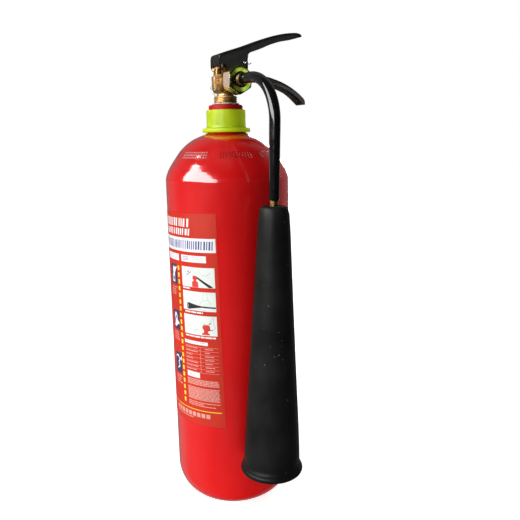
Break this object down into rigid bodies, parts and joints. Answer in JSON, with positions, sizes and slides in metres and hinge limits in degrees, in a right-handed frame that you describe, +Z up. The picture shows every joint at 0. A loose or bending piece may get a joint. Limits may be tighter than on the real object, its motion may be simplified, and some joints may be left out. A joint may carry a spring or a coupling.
{
  "type": "fire extinguisher",
  "caption": "Portable red steel gas fire extinguisher with a brass squeeze-grip valve, carry handle, safety pin and a black horn on a swivelling discharge tube.",
  "frame": {"origin": "centre of the cylinder's base, on the ground", "axes": "+Z up along the cylinder's axis, +X the way the lever and carry handle point, -Y the way the outlet points, where the tube and horn hang"},
  "size_m": [0.1655, 0.1973, 0.5179],
  "materials": {
    "red_paint": "gloss",
    "label_film": "satin",
    "green_plastic": "satin",
    "tape_white": "matte",
    "brass": "as cast",
    "brass_nipple": "machined",
    "zinc_yellow": "iridescent passivated",
    "steel": "satin",
    "bright_wire": "bright",
    "spring_steel": "drawn wire",
    "black_paint": "satin",
    "black_tube": "gloss",
    "black_horn": "satin",
    "rubber": "matte",
    "copper": "plain",
    "tube_plastic": "drawn tube"
  },
  "bodies": {
    "cylinder": {"cylinder_shell": "red_paint", "label": "label_film", "neck_collar": "green_plastic", "thread_seal_tape": "tape_white", "valve_body": "brass", "siphon_tube": "tube_plastic", "spring_retainer": "brass", "return_spring": "spring_steel", "stem_o_ring": "rubber", "stem_gland": "brass", "burst_gasket": "copper", "burst_disc": "copper", "burst_plug": "brass", "outlet_nut": "zinc_yellow", "outlet_gasket": "rubber", "lever_pivot_pin": "steel", "carry_handle": "black_paint", "handle_rivet_rear": "steel", "handle_rivet_front": "steel"},
    "lever": {"squeeze_lever": "black_paint", "tamper_seal": "bright_wire"},
    "stem": {"valve_stem": "steel", "seat_plug": "brass", "seat_face": "rubber"},
    "pin": {"safety_pin": "bright_wire"},
    "ring": {"pull_ring": "bright_wire"},
    "horn_arm": {"tube_union": "brass_nipple", "discharge_tube": "black_tube", "horn_nipple": "brass_nipple", "horn": "black_horn"}
  },
  "joints": [
    {"name": "lever_hinge", "type": "hinge", "parent": "cylinder", "child": "lever", "pos_m": [-0.0065, 0, 0.4785], "axis": [0, 1, 0], "range_deg": [0, 14], "stiffness_Nm_per_rad": 0.8},
    {"name": "stem_slide", "type": "slide", "parent": "cylinder", "child": "stem", "axis": [0, 0, -1], "range_m": [0, 0.0022], "deforming": ["return_spring"]},
    {"name": "safety_pin_slide", "type": "slide", "parent": "lever", "child": "pin", "axis": [0, 1, 0], "range_m": [0, 0.04]},
    {"name": "ring_hinge", "type": "hinge", "parent": "pin", "child": "ring", "pos_m": [0.019, 0.0165, 0.4826], "axis": [1, 0, 0], "range_deg": [0, 120]},
    {"name": "horn_swivel", "type": "hinge", "parent": "cylinder", "child": "horn_arm", "pos_m": [0, -0.03, 0.4634], "axis": [0, -1, 0], "range_deg": [-90, 110]}
  ],
  "couplings": [
    {"joint": "stem_slide", "follows": "lever_hinge", "m_per_rad": 0.00855}
  ]
}
